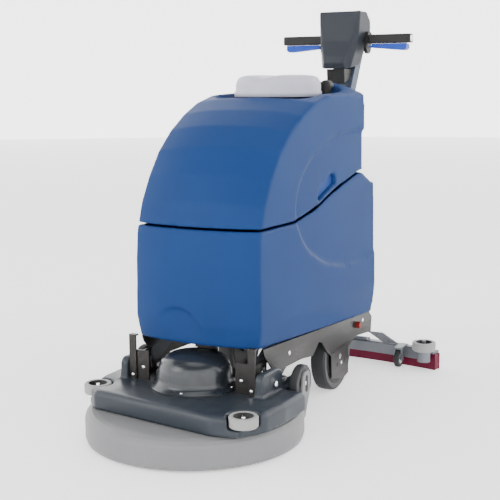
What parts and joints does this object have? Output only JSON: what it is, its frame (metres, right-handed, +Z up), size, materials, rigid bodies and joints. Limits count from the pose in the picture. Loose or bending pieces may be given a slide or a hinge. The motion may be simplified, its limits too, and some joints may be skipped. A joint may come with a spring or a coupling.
{
  "type": "wet dry floor scrubber",
  "caption": "Walk-behind wet dry floor scrubber with disc brush deck, tipping recovery tank over a solution tank, rear squeegee and handle console.",
  "frame": {"origin": "point of the floor under the brush axis, at the centre of the brush's scrubbing face", "axes": "+Z up, the machine drives towards -Y, +X to the machine's left"},
  "size_m": [0.7434, 1.3448, 1.1156],
  "materials": {
    "blue_plastic": "satin",
    "battery_case": "matt",
    "stainless": "brushed",
    "dark_steel": "satin",
    "red_plastic": "satin",
    "black_plastic": "satin",
    "ball_plastic": "satin",
    "seal_rubber": "matt",
    "lid_plastic": "translucent",
    "slate_plastic": "satin",
    "grey_plastic": "satin",
    "bristle": "matt",
    "tyre_rubber": "matt",
    "bar_steel": "satin",
    "grip_rubber": "matt",
    "trigger_blue": "gloss",
    "button_green": "satin",
    "cast_grey": "satin",
    "burgundy_rubber": "satin"
  },
  "bodies": {
    "chassis": {"solution_tank": "blue_plastic", "front_battery": "battery_case", "rear_battery": "battery_case", "left_side_plate": "stainless", "right_side_plate": "stainless", "chassis_tray": "dark_steel", "axle": "dark_steel", "drain_bung": "red_plastic", "water_valve": "red_plastic", "lower_mast": "dark_steel", "squeegee_bracket": "dark_steel", "tank_hinge": "black_plastic", "pivot_bolt": "dark_steel"},
    "recovery": {"recovery_tank": "blue_plastic", "vacuum_motor": "dark_steel", "float_cage": "black_plastic", "float_ball": "ball_plastic", "suction_elbow": "black_plastic", "lid_seal": "seal_rubber", "lid_hinge": "black_plastic"},
    "lid": {"tank_lid": "lid_plastic"},
    "deck": {"deck_cover": "slate_plastic", "motor_dome": "slate_plastic", "brush_motor": "dark_steel", "left_hanger": "stainless", "right_hanger": "stainless"},
    "left_corner_roller_body": {"left_corner_roller": "grey_plastic"},
    "right_corner_roller_body": {"right_corner_roller": "grey_plastic"},
    "left_side_wheel_body": {"left_side_wheel": "tyre_rubber"},
    "right_side_wheel_body": {"right_side_wheel": "tyre_rubber"},
    "skirt": {"splash_skirt": "grey_plastic"},
    "brush": {"bristles": "bristle", "brush_disc": "grey_plastic", "drive_hub": "grey_plastic"},
    "left_wheel": {"left_tyre": "tyre_rubber", "left_hub": "black_plastic"},
    "right_wheel": {"right_tyre": "tyre_rubber", "right_hub": "black_plastic"},
    "handle": {"upper_mast": "dark_steel", "console_head": "slate_plastic", "neck_cover": "black_plastic", "handlebar": "bar_steel", "left_grip": "grip_rubber", "right_grip": "grip_rubber", "control_panel": "black_plastic"},
    "left_trigger_body": {"left_trigger": "trigger_blue"},
    "right_trigger_body": {"right_trigger": "trigger_blue"},
    "brush_button_body": {"brush_button": "button_green"},
    "vacuum_button_body": {"vacuum_button": "button_green"},
    "flow_knob_body": {"flow_knob": "black_plastic"},
    "lever": {"squeegee_lever": "black_plastic"},
    "swing": {"swing_arm": "dark_steel"},
    "squeegee": {"squeegee_body": "cast_grey", "squeegee_frame": "cast_grey", "front_blade": "burgundy_rubber", "rear_blade": "burgundy_rubber"},
    "left_squeegee_roller_body": {"left_squeegee_roller": "grey_plastic"},
    "right_squeegee_roller_body": {"right_squeegee_roller": "grey_plastic"},
    "left_caster_body": {"left_caster": "tyre_rubber"},
    "right_caster_body": {"right_caster": "tyre_rubber"}
  },
  "joints": [
    {"name": "recovery_tip", "type": "hinge", "parent": "chassis", "child": "recovery", "pos_m": [0, 0.694, 0.63], "axis": [-1, 0, 0], "range_deg": [0, 35]},
    {"name": "lid_open", "type": "hinge", "parent": "recovery", "child": "lid", "pos_m": [0, 0.628, 0.896], "axis": [-1, 0, 0], "range_deg": [0, 70]},
    {"name": "deck_lift", "type": "slide", "parent": "chassis", "child": "deck", "axis": [0, 0, 1], "range_m": [0, 0.012]},
    {"name": "left_corner_roll", "type": "hinge", "parent": "deck", "child": "left_corner_roller_body", "pos_m": [0.222, -0.158, 0.114], "axis": [0, 0, 1], "continuous": true},
    {"name": "right_corner_roll", "type": "hinge", "parent": "deck", "child": "right_corner_roller_body", "pos_m": [-0.236, -0.088, 0.114], "axis": [0, 0, 1], "continuous": true},
    {"name": "left_side_roll", "type": "hinge", "parent": "deck", "child": "left_side_wheel_body", "pos_m": [0.234, 0.13, 0.131], "axis": [1, 0, 0], "continuous": true},
    {"name": "right_side_roll", "type": "hinge", "parent": "deck", "child": "right_side_wheel_body", "pos_m": [-0.234, 0.13, 0.131], "axis": [1, 0, 0], "continuous": true},
    {"name": "skirt_float", "type": "slide", "parent": "deck", "child": "skirt", "axis": [0, 0, 1], "range_m": [-0.005, 0]},
    {"name": "brush_spin", "type": "hinge", "parent": "deck", "child": "brush", "pos_m": [0, 0, 0.04], "axis": [0, 0, 1], "continuous": true},
    {"name": "left_wheel_spin", "type": "hinge", "parent": "chassis", "child": "left_wheel", "pos_m": [0.15, 0.522, 0.1], "axis": [1, 0, 0], "continuous": true},
    {"name": "right_wheel_spin", "type": "hinge", "parent": "chassis", "child": "right_wheel", "pos_m": [-0.15, 0.522, 0.1], "axis": [1, 0, 0], "continuous": true},
    {"name": "handle_tilt", "type": "hinge", "parent": "chassis", "child": "handle", "pos_m": [0, 0.942, 0.835], "axis": [1, 0, 0], "range_deg": [-20, 8]},
    {"name": "left_trigger_squeeze", "type": "hinge", "parent": "handle", "child": "left_trigger_body", "pos_m": [0.15, 0.978, 0.998], "axis": [1, 0, 0], "range_deg": [0, 8], "stiffness_Nm_per_rad": 0.5},
    {"name": "right_trigger_squeeze", "type": "hinge", "parent": "handle", "child": "right_trigger_body", "pos_m": [-0.15, 0.978, 0.998], "axis": [1, 0, 0], "range_deg": [0, 8], "stiffness_Nm_per_rad": 0.5},
    {"name": "brush_button_press", "type": "slide", "parent": "handle", "child": "brush_button_body", "axis": [0, -0.6075, -0.7944], "range_m": [0, 0.003], "stiffness_N_per_m": 300},
    {"name": "vacuum_button_press", "type": "slide", "parent": "handle", "child": "vacuum_button_body", "axis": [0, -0.6075, -0.7944], "range_m": [0, 0.003], "stiffness_N_per_m": 300},
    {"name": "flow_knob_turn", "type": "hinge", "parent": "handle", "child": "flow_knob_body", "pos_m": [0.034, 1.007, 1.095], "axis": [0, 0.6075, 0.7944], "range_deg": [-135, 135]},
    {"name": "squeegee_lever_pull", "type": "hinge", "parent": "chassis", "child": "lever", "pos_m": [-0.046, 0.896, 0.6], "axis": [-1, 0, 0], "range_deg": [0, 35]},
    {"name": "squeegee_swing", "type": "hinge", "parent": "chassis", "child": "swing", "pos_m": [0, 0.79, 0.11], "axis": [0, 0, 1], "range_deg": [-15, 15]},
    {"name": "squeegee_lift", "type": "hinge", "parent": "swing", "child": "squeegee", "pos_m": [0, 0.84, 0.115], "axis": [1, 0, 0], "range_deg": [0, 12]},
    {"name": "left_squeegee_roll", "type": "hinge", "parent": "squeegee", "child": "left_squeegee_roller_body", "pos_m": [0.335, 0.822, 0.078], "axis": [0, 0, 1], "continuous": true},
    {"name": "left_caster_roll", "type": "hinge", "parent": "squeegee", "child": "left_caster_body", "pos_m": [0.25, 0.833, 0.027], "axis": [1, 0, 0], "continuous": true},
    {"name": "right_squeegee_roll", "type": "hinge", "parent": "squeegee", "child": "right_squeegee_roller_body", "pos_m": [-0.335, 0.822, 0.078], "axis": [0, 0, 1], "continuous": true},
    {"name": "right_caster_roll", "type": "hinge", "parent": "squeegee", "child": "right_caster_body", "pos_m": [-0.25, 0.833, 0.027], "axis": [1, 0, 0], "continuous": true}
  ],
  "couplings": [
    {"joint": "squeegee_lift", "follows": "squeegee_lever_pull", "ratio": 0.34286}
  ]
}
